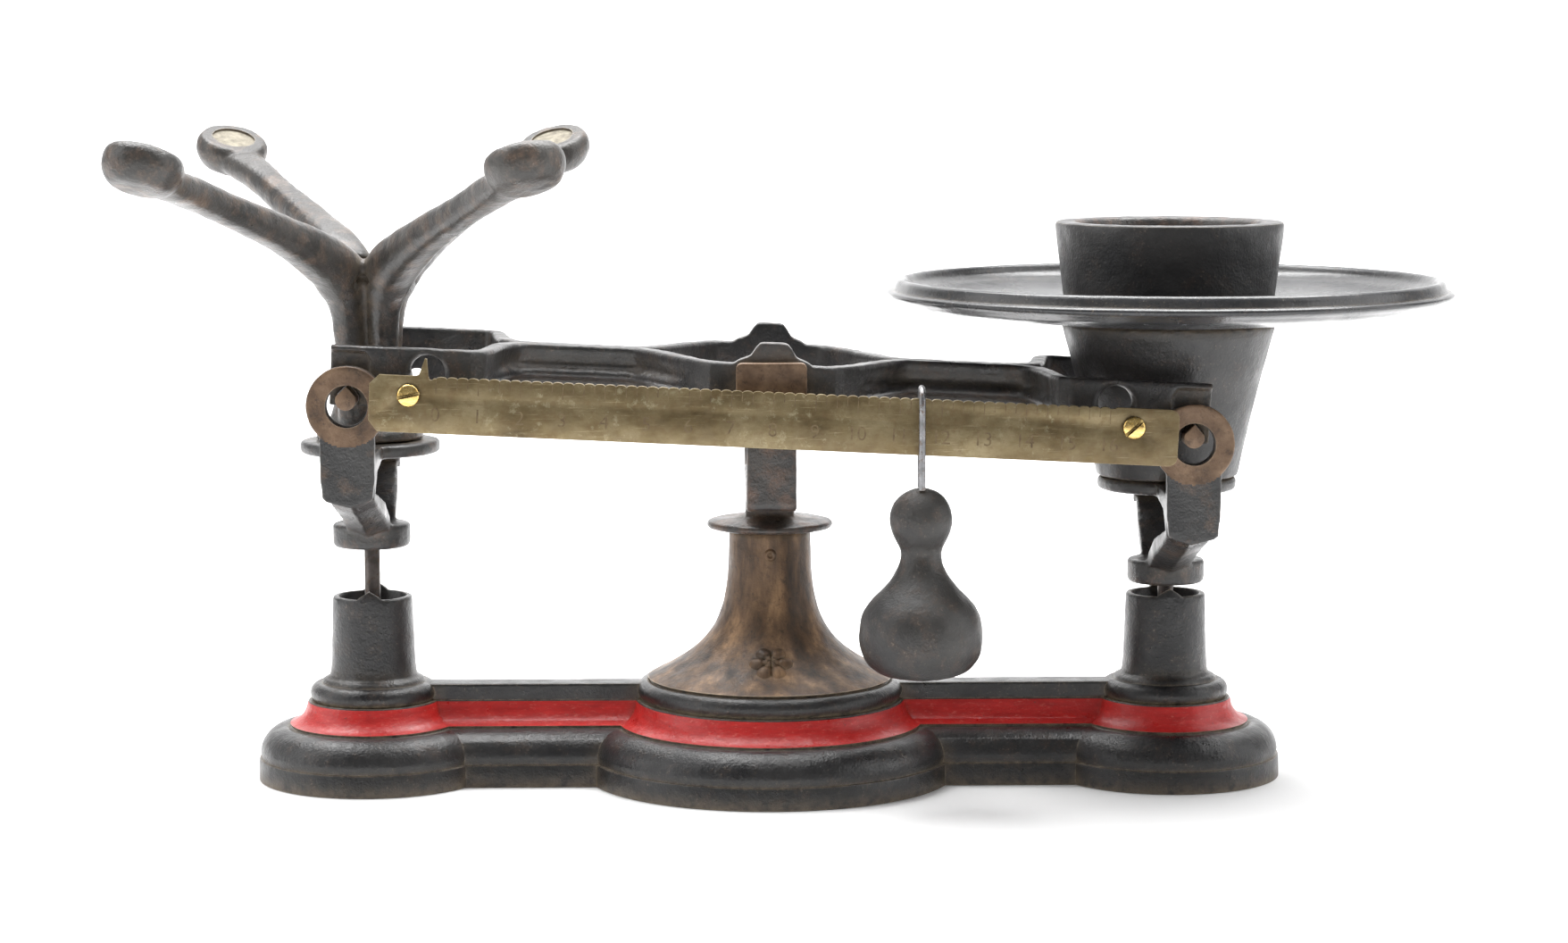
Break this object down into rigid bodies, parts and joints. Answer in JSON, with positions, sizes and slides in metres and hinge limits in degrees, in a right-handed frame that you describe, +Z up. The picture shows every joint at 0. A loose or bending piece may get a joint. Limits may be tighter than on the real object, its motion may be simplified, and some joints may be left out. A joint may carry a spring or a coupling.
{
  "type": "counter balance scale",
  "caption": "Antique cast-iron counter scale: equal-arm beam on a pedestal, spider and plate pans, weight cup, and a graduated brass bar with a hanging poise.",
  "frame": {"origin": "centre of the base, on the face that it stands on", "axes": "+X along the beam towards the plate, +Y to the back, +Z up; the graduated bar is on the -Y side"},
  "size_m": [0.4462, 0.233, 0.2246],
  "materials": {
    "black_japanned_iron": "worn black japan on cast iron, red and bronze lines on the base",
    "bronze_paint": "worn bronze paint",
    "pivot_steel": "dark, lightly rusted",
    "bail_wire": "worn, dull",
    "old_brass": "tarnished, green in places",
    "bright_brass": "polished"
  },
  "bodies": {
    "base": {"base_casting": "black_japanned_iron", "fulcrum_yoke": "black_japanned_iron", "head_block_front": "bronze_paint", "head_block_rear": "bronze_paint", "centre_bearing_front": "pivot_steel", "centre_bearing_rear": "pivot_steel", "fulcrum_nut": "pivot_steel", "check_link_pin": "pivot_steel"},
    "beam": {"beam_casting": "black_japanned_iron", "centre_knife_front": "pivot_steel", "centre_knife_rear": "pivot_steel", "left_knife_front": "pivot_steel", "left_knife_rear": "pivot_steel", "right_knife_front": "pivot_steel", "right_knife_rear": "pivot_steel", "graduated_bar": "old_brass", "bar_screw_left": "bright_brass", "bar_screw_right": "bright_brass"},
    "left_pan": {"left_hanger": "black_japanned_iron", "left_bearing_front": "pivot_steel", "left_bearing_rear": "pivot_steel", "left_stem": "pivot_steel", "left_stem_pin": "pivot_steel"},
    "right_pan": {"right_hanger": "black_japanned_iron", "right_bearing_front": "pivot_steel", "right_bearing_rear": "pivot_steel", "right_stem": "pivot_steel", "right_stem_pin": "pivot_steel"},
    "check_link": {"check_link": "pivot_steel"},
    "spider": {"spider": "black_japanned_iron"},
    "cone_support": {"cone_support": "black_japanned_iron"},
    "plate": {"plate": "black_japanned_iron"},
    "weight_cup": {"weight_cup": "black_japanned_iron"},
    "poise_bail": {"poise_bail": "bail_wire"},
    "poise_weight": {"poise_weight": "black_japanned_iron"}
  },
  "joints": [
    {"name": "beam_tilt", "type": "hinge", "parent": "base", "child": "beam", "pos_m": [0, 0, 0.1344], "axis": [0, -1, 0], "range_deg": [0, 5.5]},
    {"name": "left_level", "type": "hinge", "parent": "beam", "child": "left_pan", "pos_m": [-0.14084, 0, 0.14117], "axis": [0, -1, 0], "range_deg": [-5.5, 0]},
    {"name": "right_level", "type": "hinge", "parent": "beam", "child": "right_pan", "pos_m": [0.14084, 0, 0.12763], "axis": [0, -1, 0], "range_deg": [-5.5, 0]},
    {"name": "link_tilt", "type": "hinge", "parent": "base", "child": "check_link", "pos_m": [0, 0, 0.012], "axis": [0, -1, 0], "range_deg": [0, 5.62]},
    {"name": "spider_lift", "type": "slide", "parent": "left_pan", "child": "spider", "axis": [0, 0, 1], "range_m": [0, 0.08]},
    {"name": "cone_lift", "type": "slide", "parent": "right_pan", "child": "cone_support", "axis": [0, 0, 1], "range_m": [0, 0.08]},
    {"name": "plate_lift", "type": "slide", "parent": "cone_support", "child": "plate", "axis": [0, 0, 1], "range_m": [0, 0.06]},
    {"name": "cup_lift", "type": "slide", "parent": "plate", "child": "weight_cup", "axis": [0, 0, 1], "range_m": [0, 0.06]},
    {"name": "poise_slide", "type": "slide", "parent": "beam", "child": "poise_bail", "axis": [0.9988, 0, -0.048], "range_m": [-0.15939, 0.06237]},
    {"name": "poise_swing", "type": "hinge", "parent": "poise_bail", "child": "poise_weight", "pos_m": [0.04918, -0.062, 0.10679], "axis": [0, -1, 0], "range_deg": [-10, 10]}
  ],
  "couplings": [
    {"joint": "left_level", "follows": "beam_tilt", "ratio": -1},
    {"joint": "right_level", "follows": "beam_tilt", "ratio": -1},
    {"joint": "link_tilt", "follows": "beam_tilt", "ratio": 1.0217}
  ]
}
